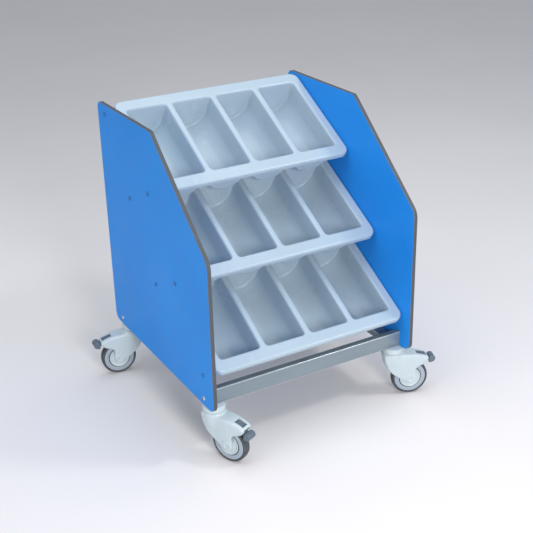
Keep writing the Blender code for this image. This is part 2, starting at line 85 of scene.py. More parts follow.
# ---------------------------------------------------------------- materials
class Nodes:
    """Short helper for one material's node tree."""

    def __init__(self, name):
        self.mat = bpy.data.materials.new(name)
        self.mat.use_nodes = True
        self.tree = self.mat.node_tree
        self.shader = self.tree.nodes["Principled BSDF"]
        self.coords = self.tree.nodes.new("ShaderNodeTexCoord").outputs["Object"]

    def link(self, a, b):
        self.tree.links.new(a, b)

    def new(self, kind, **values):
        node = self.tree.nodes.new(kind)
        for key, value in values.items():
            setattr(node, key, value)
        return node

    def noise(self, scale, detail=4.0, roughness=0.55, stretch=None, offset=(0, 0, 0)):
        mapping = self.new("ShaderNodeMapping")
        mapping.inputs["Scale"].default_value = stretch or (1, 1, 1)
        mapping.inputs["Location"].default_value = offset
        self.link(self.coords, mapping.inputs["Vector"])
        noise = self.new("ShaderNodeTexNoise")
        noise.inputs["Scale"].default_value = scale
        noise.inputs["Detail"].default_value = detail
        noise.inputs["Roughness"].default_value = roughness
        self.link(mapping.outputs["Vector"], noise.inputs["Vector"])
        return noise.outputs["Fac"]

    def span(self, value, low, high, to_low=0.0, to_high=1.0):
        node = self.new("ShaderNodeMapRange")
        for key, number in (("From Min", low), ("From Max", high), ("To Min", to_low), ("To Max", to_high)):
            node.inputs[key].default_value = number
        self.link(value, node.inputs["Value"])
        return node.outputs["Result"]

    def mix(self, factor, a, b):
        node = self.new("ShaderNodeMix", data_type="RGBA")
        self.link(factor, node.inputs["Factor"])
        for socket, value in ((node.inputs["A"], a), (node.inputs["B"], b)):
            if isinstance(value, tuple):
                socket.default_value = (*value, 1.0)
            else:
                self.link(value, socket)
        return node.outputs["Result"]

    def maths(self, operation, a, b):
        node = self.new("ShaderNodeMath", operation=operation)
        for socket, value in zip(node.inputs, (a, b)):
            if isinstance(value, (int, float)):
                socket.default_value = value
            else:
                self.link(value, socket)
        return node.outputs["Value"]

    def bump(self, height, strength, distance, after=None):
        node = self.new("ShaderNodeBump")
        node.inputs["Strength"].default_value = strength
        node.inputs["Distance"].default_value = distance
        self.link(height, node.inputs["Height"])
        if after is not None:
            self.link(after, node.inputs["Normal"])
        return node.outputs["Normal"]

    def done(self, colour, roughness, normal=None, **uniform):
        self.link(colour, self.shader.inputs["Base Color"])
        self.link(roughness, self.shader.inputs["Roughness"])
        if normal is not None:
            self.link(normal, self.shader.inputs["Normal"])
        for key, value in uniform.items():
            self.shader.inputs[key.replace("_", " ")].default_value = value
        return self.mat


def laminate_face():
    n = Nodes("laminate_blue")
    cloud = n.span(n.noise(3.5, 3.0), 0.3, 0.7)
    speckle = n.span(n.noise(900.0, 2.0), 0.35, 0.65)
    colour = n.mix(cloud, (0.015, 0.268, 0.810), (0.021, 0.312, 0.890))
    colour = n.mix(n.maths("MULTIPLY", speckle, 0.10), colour, (0.012, 0.19, 0.64))
    scuff = n.span(n.noise(26.0, 5.0, 0.7, stretch=(1, 1, 7)), 0.66, 0.74)
    colour = n.mix(n.maths("MULTIPLY", scuff, 0.14), colour, (0.25, 0.45, 0.78))
    smear = n.noise(14.0, 4.0, 0.6)
    roughness = n.maths("ADD", n.span(smear, 0.3, 0.7, 0.36, 0.46), n.maths("MULTIPLY", scuff, 0.10))
    pearl = n.bump(n.noise(650.0, 2.0), 0.10, 0.0003)
    return n.done(colour, roughness, n.bump(n.noise(60.0, 2.0), 0.04, 0.0006, pearl), Specular_IOR_Level=0.14)


def laminate_core(name, dark, light):
    n = Nodes(name)
    layers = n.noise(700.0, 3.0, 0.6, stretch=(6, 0.06, 0.06))
    cloud = n.noise(24.0, 4.0)
    colour = n.mix(n.span(layers, 0.3, 0.7), dark, light)
    worn = n.span(cloud, 0.55, 0.75)
    colour = n.mix(n.maths("MULTIPLY", worn, 0.35), colour, tuple(1.5 * c for c in light))
    return n.done(colour, n.span(layers, 0.3, 0.7, 0.42, 0.6), n.bump(layers, 0.25, 0.0002))


def moulded(name, colour, tint, rough=(0.28, 0.38), grain=900.0, strength=0.08, scratches=0.0, **uniform):
    """Smooth moulded plastic: faint colour clouds, orange peel, and fine scratches if asked."""
    n = Nodes(name)
    cloud = n.span(n.noise(9.0, 4.0), 0.3, 0.7)
    result = n.mix(cloud, colour, tint)
    fine = n.noise(grain, 2.0)
    result = n.mix(n.maths("MULTIPLY", n.span(fine, 0.4, 0.7), 0.06), result, tuple(0.6 * c for c in colour))
    roughness = n.span(n.noise(14.0, 3.0, 0.5), 0.3, 0.7, *rough)
    if scratches:
        lines = n.span(n.noise(520.0, 4.0, 0.65, stretch=(1.0, 0.04, 0.3)), 0.50, 0.75)
        marks = n.maths("MULTIPLY", lines, n.span(n.noise(6.0, 2.0, 0.4, offset=(3, 1, 5)), 0.40, 0.70))
        result = n.mix(n.maths("MULTIPLY", marks, scratches), result, tuple(1.18 * c for c in tint))
        roughness = n.maths("ADD", roughness, n.maths("MULTIPLY", marks, 0.08))
    waves = n.bump(n.noise(45.0, 2.0), 0.025, 0.0008)
    return n.done(result, roughness, n.bump(fine, strength, 0.0002, waves), **uniform)


def painted_steel(name, dark, light, rough):
    n = Nodes(name)
    cloud = n.span(n.noise(12.0, 4.0, stretch=(0.3, 1, 1)), 0.3, 0.7)
    colour = n.mix(cloud, dark, light)
    peel = n.noise(520.0, 2.0)
    colour = n.mix(n.maths("MULTIPLY", n.span(peel, 0.55, 0.75), 0.10), colour, tuple(1.4 * c for c in light))
    roughness = n.span(n.noise(35.0, 3.0), 0.3, 0.7, *rough)
    return n.done(colour, roughness, n.bump(peel, 0.07, 0.0003), Metallic=0.35)


def bright_steel(name, colour, rough=(0.18, 0.32), metal=1.0):
    n = Nodes(name)
    turned = n.noise(900.0, 3.0, 0.6, stretch=(0.1, 1, 1))
    result = n.mix(n.span(turned, 0.3, 0.7), colour, tuple(0.8 * c for c in colour))
    return n.done(result, n.span(turned, 0.3, 0.7, *rough), n.bump(turned, 0.10, 0.0001), Metallic=metal)


def tyre_rubber():
    n = Nodes("tyre_rubber")
    cloud = n.span(n.noise(60.0, 5.0, 0.65), 0.35, 0.7)
    colour = n.mix(cloud, (0.048, 0.057, 0.066), (0.080, 0.092, 0.102))
    dust = n.span(n.noise(22.0, 5.0, 0.7), 0.50, 0.75)
    colour = n.mix(n.maths("MULTIPLY", dust, 0.35), colour, (0.130, 0.138, 0.144))
    grit = n.noise(1100.0, 3.0)
    return n.done(colour, n.span(grit, 0.3, 0.7, 0.62, 0.80), n.bump(grit, 0.30, 0.0003))


LOOKS = {
    "blue": laminate_face(),
    "core": laminate_core("laminate_core", (0.048, 0.055, 0.066), (0.080, 0.090, 0.104)),
    "arris": laminate_core("laminate_arris", (0.100, 0.112, 0.128), (0.155, 0.170, 0.190)),
    "tray": moulded("tray_grey", (0.388, 0.490, 0.575), (0.418, 0.520, 0.605), (0.20, 0.28),
                    grain=700.0, strength=0.05, scratches=0.12),
    "frame": painted_steel("frame_paint", (0.200, 0.250, 0.290), (0.235, 0.290, 0.330), (0.28, 0.36)),
    # lighter, glossier paint on the tube corners: a painted highlight along the arrises
    "corner": painted_steel("frame_painted_highlight", (0.440, 0.500, 0.540), (0.520, 0.580, 0.620), (0.20, 0.28)),
    "steel": bright_steel("screw_steel", (0.72, 0.73, 0.74)),
    "screw": bright_steel("screw_blue", (0.035, 0.17, 0.50), (0.32, 0.42), 0.2),
    # near black inside the screw socket: painted shade in the recess
    "socket": bright_steel("screw_socket_painted_shade", (0.05, 0.07, 0.11), (0.5, 0.6), 0.6),
    "shell": moulded("caster_shell", (0.500, 0.590, 0.635), (0.540, 0.625, 0.670), (0.25, 0.34),
                     grain=1100.0),
    "disc": moulded("wheel_disc", (0.530, 0.605, 0.640), (0.570, 0.640, 0.675), (0.30, 0.40), grain=1100.0),
    "rim": moulded("wheel_rim", (0.335, 0.400, 0.465), (0.375, 0.440, 0.505), (0.36, 0.46), grain=1100.0),
    # near black in the groove between hub disc and rim ring: painted shade in the recess
    "groove": moulded("wheel_groove_painted_shade", (0.07, 0.085, 0.10), (0.09, 0.105, 0.12), (0.5, 0.6), grain=1100.0),
    "pedal": moulded("pedal_slate", (0.100, 0.140, 0.185), (0.122, 0.165, 0.210), (0.38, 0.50),
                     grain=1500.0, strength=0.28),
    "tyre": tyre_rubber(),
}


# ---------------------------------------------------------------- mesh helpers
def make_piece(name, bm, looks, body, nodes, place=None, sharp=40.0):
    bmesh.ops.remove_doubles(bm, verts=bm.verts[:], dist=2e-6)
    bmesh.ops.dissolve_degenerate(bm, edges=bm.edges[:], dist=2e-6)
    bmesh.ops.recalc_face_normals(bm, faces=bm.faces[:])
    mesh = bpy.data.meshes.new(name)
    bm.to_mesh(mesh)
    bm.free()
    for look in looks:
        mesh.materials.append(LOOKS[look])
    mesh.shade_smooth()
    mesh.set_sharp_from_angle(angle=math.radians(sharp))
    return add_piece(name, mesh, body, nodes, place)


def add_piece(name, mesh, body, nodes, place=None):
    obj = bpy.data.objects.new(name, mesh)
    bpy.context.scene.collection.objects.link(obj)
    if place is not None:
        obj.matrix_world = place
    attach(obj, body)
    if nodes:
        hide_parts(*nodes)
    return obj


def bridge(bm, first, second, look=0):
    faces = []
    for i in range(len(first)):
        quad = [first[i - 1], first[i], second[i], second[i - 1]]
        quad = [v for k, v in enumerate(quad) if v is not quad[k - 1]]
        if len(quad) > 2:
            face = bm.faces.new(quad)
            face.material_index = look
            faces.append(face)
    return faces


def ring(bm, points):
    return [bm.verts.new(p) for p in points]


def rounded(corners, radii, steps):
    """Outline with its corners rounded, as (a, b) points."""
    outline = []
    count = len(corners)
    for i, (corner, radius) in enumerate(zip(corners, radii)):
        here = Vector(corner)
        before = (Vector(corners[i - 1]) - here).normalized()
        after = (Vector(corners[(i + 1) % count]) - here).normalized()
        half = before.angle(after) / 2
        centre = here + (before + after).normalized() * radius / math.sin(half)
        start = here + before * radius / math.tan(half) - centre
        end = here + after * radius / math.tan(half) - centre
        turn = math.atan2(start.x * end.y - start.y * end.x, start.dot(end))
        for k in range(steps + 1):
            angle = turn * k / steps
            c, s = math.cos(angle), math.sin(angle)
            outline.append((centre.x + start.x * c - start.y * s, centre.y + start.x * s + start.y * c))
    return outline


def lathe(bm, profile, segments, axis="Z", looks=None):
    """Turned body from (radius, height) points; looks gives one material index per profile step."""
    turn = {"Z": lambda x, y, z: (x, y, z),
            "X": lambda x, y, z: (z, x, y),
            "Y": lambda x, y, z: (x, z, y)}[axis]
    rows = []
    for radius, height in profile:
        if radius < 1e-7:
            rows.append([bm.verts.new(turn(0, 0, height))] * segments)
            continue
        rows.append([bm.verts.new(turn(radius * math.cos(2 * math.pi * k / segments),
                                       radius * math.sin(2 * math.pi * k / segments), height))
                     for k in range(segments)])
    for i, (a, b) in enumerate(zip(rows, rows[1:])):
        bridge(bm, a, b, looks[i] if looks else 0)
    return rows


def arc_points(centre, radius, start, end, steps):
    """(a, b) points on an arc, angles in degrees."""
    result = []
    for k in range(steps + 1):
        angle = math.radians(start + (end - start) * k / steps)
        result.append((centre[0] + radius * math.cos(angle), centre[1] + radius * math.sin(angle)))
    return result


# ---------------------------------------------------------------- trays
def trough_levels(offset):
    """Levels of a compartment, from the flange down: (w, half width, end shift, corner x, corner v)."""
    lean, secant = math.tan(TROUGH_DRAFT), 1 / math.cos(TROUGH_DRAFT)
    mouth = TROUGH_MOUTH / 2
    inner = (mouth - TROUGH_DEPTH * lean) / (math.cos(TROUGH_DRAFT) - (1 - math.sin(TROUGH_DRAFT)) * lean)
    radius, middle = inner + offset, inner - TROUGH_DEPTH
    edge, corner, fillet = TROUGH_EDGE - offset, MOUTH_CORNER + offset, TROUGH_FILLET + offset
    band = 0.0006                        # flat band round the mouth
    centre = offset * (secant - lean) + edge * (secant - lean)
    top_shift = centre - edge * math.cos(TROUGH_DRAFT)
    size = corner + centre - top_shift + band
    levels = [(-offset, mouth + centre + band, centre + band, size, size)]
    for k in range(EDGE_STEPS + 1):
        angle = math.pi / 2 - (math.pi / 2 - TROUGH_DRAFT) * k / EDGE_STEPS
        shift = centre - edge * math.cos(angle)
        size = corner + shift - top_shift
        levels.append((-offset - edge + edge * math.sin(angle), mouth + shift, shift, size, size))
    start = levels[-1][0]
    meet = middle - radius * math.sin(TROUGH_DRAFT)

    def blend_corner(w, low_x, low_v):
        t = min(max((w - meet) / (start - meet), 0.0), 1.0)
        t = t * t * (3 - 2 * t)
        return low_x + (corner - low_x) * t, low_v + (corner - low_v) * t

    for k in range(1, WALL_STEPS + 1):
        w = start + (meet - start) * k / WALL_STEPS
        shift = w * lean + offset * secant
        levels.append((w, mouth + shift, shift, *blend_corner(w, fillet, fillet)))
    for k in range(1, BOTTOM_STEPS + 1):
        angle = TROUGH_DRAFT + (math.radians(88.0) - TROUGH_DRAFT) * k / BOTTOM_STEPS
        w, half = middle - radius * math.sin(angle), radius * math.cos(angle)
        shift = w * lean + offset * secant
        below = radius * math.sin(angle)
        inside = max((radius - fillet) ** 2 - below ** 2, 0.0)
        recess = 0.0
        if below > radius - fillet:
            recess = fillet - math.sqrt(max(fillet ** 2 - (below - radius + fillet) ** 2, 0.0))
        levels.append((w, half, shift - recess, half - math.sqrt(inside), max(fillet - recess, 1e-5)))
    return levels


def trough_ring(bm, level, x0, length):
    w, half, shift, ex, ev = level
    ex = min(ex, half)
    front, rear = TROUGH_FRONT - shift, length - TROUGH_REAR + shift
    rows, across, turn = 8, 6, 6
    points = []
    for sx, sv in ((1, 1), (-1, -1)):
        v_from, v_to = (front + ev, rear - ev) if sv > 0 else (rear - ev, front + ev)
        points += [(sx * half, v_from + (v_to - v_from) * k / rows) for k in range(rows + 1)]
        end_v = rear if sv > 0 else front
        for k in range(1, turn):
            a = math.pi / 2 * k / turn
            points.append((sx * (half - ex + ex * math.cos(a)), end_v - sv * ev * (1 - math.sin(a))))
        points += [(sx * (half - ex) * (1 - 2 * k / across), end_v) for k in range(across + 1)]
        for k in range(1, turn):
            a = math.pi / 2 * (1 - k / turn)
            points.append((-sx * (half - ex + ex * math.cos(a)), end_v - sv * ev * (1 - math.sin(a))))
    return ring(bm, [(x0 + x, v, w) for x, v in points])


def tray_mesh(bm, width, length):
    def outline(inset, level):
        half, size = width / 2 - inset, TRAY_CORNER - inset
        corners = ((-half, inset), (half, inset), (half, length - inset), (-half, length - inset))
        return ring(bm, [(x, v, level) for x, v in rounded(corners, (size,) * 4, 12)])

    wall, lip, foot = TRAY_WALL, -TRAY_LIP, 0.0012
    crease = 0.0006                      # keeps a narrow band of faces beside a bend
    rim = [(TRAY_EDGE + crease, 0.0)]
    rim += [(TRAY_EDGE - TRAY_EDGE * math.sin(a), -TRAY_EDGE + TRAY_EDGE * math.cos(a))
            for a in (math.radians(15 * k) for k in range(7))]
    rim += [(0, lip + foot), (foot * 0.3, lip + foot * 0.3), (foot, lip), (wall - foot * 0.5, lip),
            (wall, lip + foot * 0.5), (wall, -wall - 0.002), (wall + crease, -wall - crease),
            (wall + 0.002, -wall)]
    rows = [outline(*r) for r in rim]
    for a, b in zip(rows, rows[1:]):
        bridge(bm, a, b)
    for offset, border in ((0.0, rows[0]), (wall, rows[-1])):
        holes = []
        for i in range(TROUGHS):
            x0 = (i - (TROUGHS - 1) / 2) * TROUGH_PITCH
            loops = [trough_ring(bm, level, x0, length) for level in trough_levels(offset)]
            for a, b in zip(loops, loops[1:]):
                bridge(bm, a, b)
            bm.faces.new(loops[-1])
            holes.append(loops[0])
        edges = [bm.edges.get((loop[k - 1], loop[k])) for loop in (border, *holes) for k in range(len(loop))]
        bmesh.ops.triangle_fill(bm, use_beauty=True, edges=edges)


def build_trays():
    for name in ("top", "middle", "bottom"):
        node = f"tray_{name}"
        mount = MOUNTS[f"{node}_rim"]
        normal = Vector(mount["axis"]).normalized()
        slope = normal.cross(Vector((1, 0, 0)))
        slope = slope if slope.y > 0 else -slope
        low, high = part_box(node)
        origin = Vector(mount["pos_m"]) - slope * MOUNT_V
        place = Matrix.Translation(origin) @ Matrix((
            (1, slope.x, normal.x, 0), (0, slope.y, normal.y, 0), (0, slope.z, normal.z, 0), (0, 0, 0, 1)))
        bm = bmesh.new()
        tray_mesh(bm, high.x - low.x, TRAY_LENGTH)
        make_piece(f"look_{node}", bm, ["tray"], node, [node], place, sharp=60)


# ---------------------------------------------------------------- side panels
def prism_with_arris(bm, outline, near, far, arris, to_point, looks=(0, 1, 2), holes=()):
    """Sheet between two planes: faces, eased arrises and edge band get their own material indices."""
    face, edge, eased = looks

    def inset_loop(points, distance):
        result = []
        for i, p in enumerate(points):
            before, here, after = Vector(points[i - 1]), Vector(p), Vector(points[(i + 1) % len(points)])
            tangent = (after - before).normalized()
            inward = Vector((-tangent.y, tangent.x))
            result.append(here + inward * distance)
        return result

    step = math.copysign(arris, far - near)
    for points in (outline, *holes):
        inner = inset_loop(points, arris)
        levels = ((near, inner), (near + step, points), (far - step, points), (far, inner))
        loops = [ring(bm, [to_point(a, b, level) for a, b in pts]) for level, pts in levels]
        bridge(bm, loops[0], loops[1], eased)
        bridge(bm, loops[1], loops[2], edge)
        bridge(bm, loops[2], loops[3], eased)
        if points is outline:
            ends = [[loops[0]], [loops[3]]]
        else:
            ends[0].append(loops[0])
            ends[1].append(loops[3])
    for group in ends:
        edges = [bm.edges.get((loop[k - 1], loop[k])) for loop in group for k in range(len(loop))]
        made = bmesh.ops.triangle_fill(bm, use_beauty=True, edges=edges)
        for item in made["geom"]:
            if isinstance(item, bmesh.types.BMFace):
                item.material_index = face


def build_panels():
    for side in ("left", "right"):
        node = f"panel_{side}"
        low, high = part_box(node)
        depth, height = high.y - low.y, high.z - low.z
        corners = ((0, 0), (depth, 0), (depth, height), (PANEL_TOP_Y, height), (0, PANEL_FRONT_H))
        radii = (PANEL_R_FOOT, PANEL_R_FOOT, PANEL_R_BACK, PANEL_R_BACK, PANEL_R_BEND)
        outline = rounded(corners, radii, 14)
        bm = bmesh.new()
        prism_with_arris(bm, outline, low.x, high.x, PANEL_ARRIS,
                         lambda y, z, x: (x, low.y + y, low.z + z))
        make_piece(f"look_{node}", bm, ["blue", "core", "arris"], "frame", [node], sharp=25)


# ---------------------------------------------------------------- frame, bars and screws
def rounded_tube(bm, size, axis, wall=TUBE_WALL, radius=TUBE_ROUND):
    """Rectangular tube with rolled corners, open at both ends, along one axis of the box."""
    others = [k for k in range(3) if k != axis]
    half = [s / 2 for s in size]
    loops = []
    ease = 0.0004
    for inset, end in ((0, -1), (ease, -1), (wall - ease, -1), (wall, -1), (wall, 1), (wall - ease, 1),
                       (ease, 1), (0, 1)):
        a, b = half[others[0]] - inset, half[others[1]] - inset
        corner = max(radius - inset, 0.0008)
        shift = ease if inset in (0, wall) else 0.0
        loop = []
        for u, v in rounded(((-a, -b), (a, -b), (a, b), (-a, b)), (corner,) * 4, CORNER_STEPS):
            point = [0.0, 0.0, 0.0]
            point[others[0]], point[others[1]], point[axis] = u, v, end * (half[axis] - shift)
            loop.append(point)
        loops.append(ring(bm, loop))
    for a, b in zip(loops, loops[1:] + loops[:1]):
        faces = bridge(bm, a, b)
        if a is loops[-1]:                   # outside faces: the middle corner strips get the painted highlight
            for k, face in enumerate(faces):
                face.material_index = int(k % (CORNER_STEPS + 1) in HIGHLIGHT_STRIPS)


def build_frame():
    for name in ("tube_front", "tube_rear", "tube_left", "tube_right"):
        low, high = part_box(name)
        bm = bmesh.new()
        rounded_tube(bm, high - low, 0 if name in ("tube_front", "tube_rear") else 1)
        make_piece(f"look_{name}", bm, ["frame", "corner"], "frame", [name],
                   Matrix.Translation((low + high) / 2), sharp=30)
    for name in (f"bar_{level}_{end}" for level in ("top", "middle", "bottom") for end in ("front", "rear")):
        low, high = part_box(name)
        radius, half = (high.z - low.z) / 2, (high.x - low.x) / 2
        profile = [(BAR_BORE, -half), (radius - BAR_EASE, -half), (radius, -half + BAR_EASE),
                   (radius, half - BAR_EASE), (radius - BAR_EASE, half), (BAR_BORE, half), (BAR_BORE, -half)]
        bm = bmesh.new()
        lathe(bm, profile, 48, "X")
        make_piece(f"look_{name}", bm, ["frame"], "frame", [name],
                   Matrix.Translation((low + high) / 2), sharp=30)
    build_welds()


def build_welds():
    """Weld beads where the flat side tubes meet the upright front and rear tubes."""
    rng = np.random.default_rng(7)
    for side in ("left", "right"):
        for end in ("front", "rear"):
            low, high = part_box(f"tube_{side}")
            toward = -1 if end == "front" else 1
            y = low.y if end == "front" else high.y
            bm = bmesh.new()
            loops = []
            for k in range(WELD_STEPS + 1):
                x = low.x + WELD_INSET + (high.x - low.x - 2 * WELD_INSET) * k / WELD_STEPS
                swell = WELD_BEAD * (0.80 + 0.20 * math.cos(k * 2.1) + rng.uniform(-0.06, 0.06))
                if k in (0, WELD_STEPS):
                    swell *= 0.25
                arch = [(x, y - toward * swell * 1.15 * math.cos(a), high.z + swell * math.sin(a))
                        for a in (math.radians(15 * j) for j in range(7))]
                loops.append(ring(bm, arch + [(x, y, high.z)]))
            for a, b in zip(loops, loops[1:]):
                bridge(bm, a, b)
            bm.faces.new(loops[0])
            bm.faces.new(loops[-1])
            make_piece(f"look_weld_{side}_{end}", bm, ["frame"], "frame", [], sharp=50)


def build_screws():
    for name in sorted(n for n in frame["nodes"] if n.startswith("screw_")):
        low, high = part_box(name)
        sign = -1 if "_left_" in name else 1
        head = (high.z - low.z) / 2
        panel_low, panel_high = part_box("panel_left" if sign < 0 else "panel_right")
        face = panel_low.x if sign < 0 else panel_high.x
        tip = high.x if sign < 0 else low.x
        length = abs(tip - face)
        bright = "tube" in name
        bm = bmesh.new()
        dome = [(head * math.cos(a), SCREW_EASE + SCREW_RISE * math.sin(a))
                for a in (math.radians(10 * k) for k in range(1, 7))]
        profile = [(0, -length), (SCREW_SHAFT * 0.7, -length), (SCREW_SHAFT, -length + 0.0012),
                   (SCREW_SHAFT, SCREW_EASE), (head - SCREW_EASE, SCREW_EASE), (head, 2 * SCREW_EASE)] + dome
        if bright:                           # a bright screw shows its socket, as faces in painted shade
            profile += [(SOCKET_R + SCREW_EASE, SCREW_RISE + 0.0002), (SOCKET_R, SCREW_RISE),
                        (SOCKET_R * 0.98, 0.0008), (0, 0.0007)]
            looks = [0] * (len(profile) - 4) + [0, 1, 1]
            lathe(bm, profile, 24, "X", looks)
        else:
            profile += [(head * 0.3, SCREW_RISE + 0.0002), (0, SCREW_RISE + SCREW_EASE)]
            lathe(bm, profile, 24, "X")
        turn = Matrix.Rotation(math.pi, 4, "Z") if sign < 0 else Matrix.Identity(4)
        centre = (low + high) / 2
        place = Matrix.Translation((face, centre.y, centre.z)) @ turn
        make_piece(f"look_{name}", bm, ["steel" if bright else "screw", "socket"], "frame",
                   [name], place, sharp=35)


# ---------------------------------------------------------------- rounded solids for the casters
def length2(a, b):
    return np.sqrt(a * a + b * b)


def outline_distance(points, a, b):
    """Signed distance to a closed outline in two dimensions, negative inside."""
    best = np.full(a.shape, 1e9)
    inside = np.zeros(a.shape, bool)
    for (x0, y0), (x1, y1) in zip(points, (*points[1:], points[0])):
        ex, ey = x1 - x0, y1 - y0
        wx, wy = a - x0, b - y0
        t = np.clip((wx * ex + wy * ey) / (ex * ex + ey * ey), 0, 1)
        best = np.minimum(best, (wx - ex * t) ** 2 + (wy - ey * t) ** 2)
        crosses = (y0 > b) != (y1 > b)
        with np.errstate(divide="ignore", invalid="ignore"):
            inside ^= crosses & (a < ex * (b - y0) / (ey if ey else 1e-12) + x0)
    return np.where(inside, -1, 1) * np.sqrt(best)


def smooth_max(a, b, k):
    h = np.clip(0.5 + 0.5 * (a - b) / k, 0, 1)
    return b + (a - b) * h + k * h * (1 - h)


def smooth_min(a, b, k):
    return -smooth_max(-a, -b, k)


def slab(distance, across, half, rounding):
    """Outline swept across a half width, with its arrises rounded."""
    u, v = distance + rounding, across - half + rounding
    return np.minimum(np.maximum(u, v), 0) + length2(np.maximum(u, 0), np.maximum(v, 0)) - rounding


def surface_mesh(name, field, low, high, step, looks):
    """Closed quad mesh of field = 0 by surface nets, its points then moved onto the surface."""
    axes = [np.arange(lo - step * 1.5, hi + step * 2.5, step) for lo, hi in zip(low, high)]
    grid = np.stack(np.meshgrid(*axes, indexing="ij"), -1)
    value = field(grid[..., 0], grid[..., 1], grid[..., 2])
    value[np.abs(value) < 1e-9] = 1e-9
    inside = value < 0
    shape = tuple(s - 1 for s in value.shape)
    corners = [(i, j, k) for i in (0, 1) for j in (0, 1) for k in (0, 1)]

    def part(array, c):
        return array[c[0]:c[0] + shape[0], c[1]:c[1] + shape[1], c[2]:c[2] + shape[2]]

    count = sum(part(inside, c).astype(np.int8) for c in corners)
    active = (count > 0) & (count < 8)
    index = np.full(shape, -1, np.int64)
    index[active] = np.arange(active.sum())
    total, crossings = np.zeros((active.sum(), 3)), np.zeros(active.sum())
    at = {c: part(value, c)[active] for c in corners}
    for a in corners:
        for axis in range(3):
            if a[axis] == 0:
                b = tuple(1 if k == axis else a[k] for k in range(3))
                va, vb = at[a], at[b]
                cut = (va < 0) != (vb < 0)
                t = np.where(cut, va / np.where(cut, va - vb, 1), 0)
                point = np.tile(np.array(a, float), (len(va), 1))
                point[:, axis] += t
                total[cut] += point[cut]
                crossings[cut] += 1
    cells = np.argwhere(active)
    places = np.array([ax[0] for ax in axes]) + (cells + total / crossings[:, None]) * step
    for _ in range(3):
        x, y, z = places.T
        here, e = field(x, y, z), step * 0.05
        slope = np.stack([field(x + e, y, z) - field(x - e, y, z), field(x, y + e, z) - field(x, y - e, z),
                          field(x, y, z + e) - field(x, y, z - e)], -1) / (2 * e)
        steepness = np.maximum((slope ** 2).sum(-1), 0.25)
        places -= np.clip(here, -step, step)[:, None] * slope / steepness[:, None]
    faces = []
    for axis in range(3):
        u, v = (axis + 1) % 3, (axis + 2) % 3
        first = [slice(1, -1)] * 3
        first[axis] = slice(0, -1)
        second = list(first)
        second[axis] = slice(1, None)
        a, b = inside[tuple(first)], inside[tuple(second)]
        for flip in (False, True):
            where = np.argwhere((a & ~b) if not flip else (~a & b))
            where = where + [0 if k == axis else 1 for k in range(3)]
            quad = []
            for du, dv in ((-1, -1), (0, -1), (0, 0), (-1, 0)):
                cell = where.copy()
                cell[:, u] += du
                cell[:, v] += dv
                quad.append(index[cell[:, 0], cell[:, 1], cell[:, 2]])
            quad = np.stack(quad[::-1] if flip else quad, -1)
            faces.append(quad)
    faces = np.concatenate(faces)
    mesh = bpy.data.meshes.new(name)
    mesh.from_pydata(places.tolist(), [], faces.tolist())
    for look in looks:
        mesh.materials.append(LOOKS[look])
    mesh.shade_smooth()
    mesh.set_sharp_from_angle(angle=math.radians(48))
    return mesh


# ---------------------------------------------------------------- casters
TRAIL, AXLE_Z = 0.046, -0.0935           # axle from the swivel axis and below the panels
WHEEL_R, WHEEL_HALF, HUB_HALF = 0.0475, 0.0112, 0.0125
RIM_R, HUB_R, AXLE_R, STEM_R = 0.0415, 0.0278, 0.005, 0.006
COLLAR_R, COLLAR_H, KING_DEPTH = 0.0275, 0.0157, 0.038
HOOD_HALF, HOOD_TIP_SLIM, FORK_FOOT_SLIM, FORK_HALF = 0.0225, 0.18, 0.17, 0.0138
HOOD_TIP, FORK_FOOT = 0.094, -0.107
HOOD = (
    (-0.0258, -0.0225), (-0.0255, -0.0290), (-0.0235, -0.0400), (-0.0175, -0.0550),
    (-0.0075, -0.0715), (0.0120, -0.0870), (0.0340, -0.1035), (0.0390, -0.1060),
    (0.0480, -0.1068), (0.0555, -0.1030), (0.0592, -0.0960), (0.0598, -0.0860),
    (0.0585, -0.0700), (0.0620, -0.0635), (0.0690, -0.0600), (0.0800, -0.0565),
    (0.0880, -0.0520), (0.0930, -0.0455), (0.0940, -0.0385), (0.0905, -0.0340),
    (0.0720, -0.0270), (0.0520, -0.0232), (0.0300, -0.0215), (0.0000, -0.0205), (-0.0200, -0.0205),
)
CROWN = (
    (0.0262, -0.0160), (0.0272, -0.0172), (0.0272, -0.0270), (0.0258, -0.0380),
    (0.0225, -0.0500), (0.0180, -0.0580), (-0.0180, -0.0580), (-0.0225, -0.0500),
    (-0.0258, -0.0380), (-0.0272, -0.0270), (-0.0272, -0.0172), (-0.0262, -0.0160),
)
PEDAL_PIVOT = (0.057, -0.037)
PEDAL_HALF, PEDAL_TOE_HALF = 0.0085, 0.0135
PEDAL = (
    (0.0525, -0.0345), (0.0610, -0.0330), (0.0640, -0.0325), (0.0640, -0.0266), (0.0875, -0.0330),
    (0.0875, -0.0387), (0.0920, -0.0407), (0.0970, -0.0407), (0.0970, -0.0500), (0.0880, -0.0480),
    (0.0760, -0.0460), (0.0740, -0.0475), (0.0690, -0.0472), (0.0660, -0.0445), (0.0620, -0.0440),
    (0.0535, -0.0420),
)
TOE = (
    (0.0950, -0.0380), (0.1035, -0.0352), (0.1100, -0.0376), (0.1130, -0.0445), (0.1104, -0.0518),
    (0.1018, -0.0557), (0.0950, -0.0550),
)
PEDAL_ROOM = ((0.0495, -0.0302), (0.0640, -0.0312), (0.0875, -0.0382), (0.0940, -0.0402),
              (0.1100, -0.0402), (0.1100, -0.0750), (0.0495, -0.0650))
WINDOW, WINDOW_FLOOR = (0.0630, 0.0885, 0.0095), -0.05      # nearest x, farthest x, half width
BOSS_R, BOSS_RISE, DIMPLE_R, DIMPLE_DEPTH = 0.0120, 0.0010, 0.0050, 0.0009
TOE_PITCH, TOE_GROOVE, PAD_PITCH, PAD_GROOVE = 0.0042, 0.0007, 0.0038, 0.0006
HOUSING_BOX, HOUSING_STEP = ((-0.029, -0.029, -0.109), (0.096, 0.029, -0.015)), 0.0011
PEDAL_STEP, PEDAL_REACH, PEDAL_LOW_Z, PEDAL_HIGH_Z = 0.0006, 0.1132, -0.0560, -0.0264


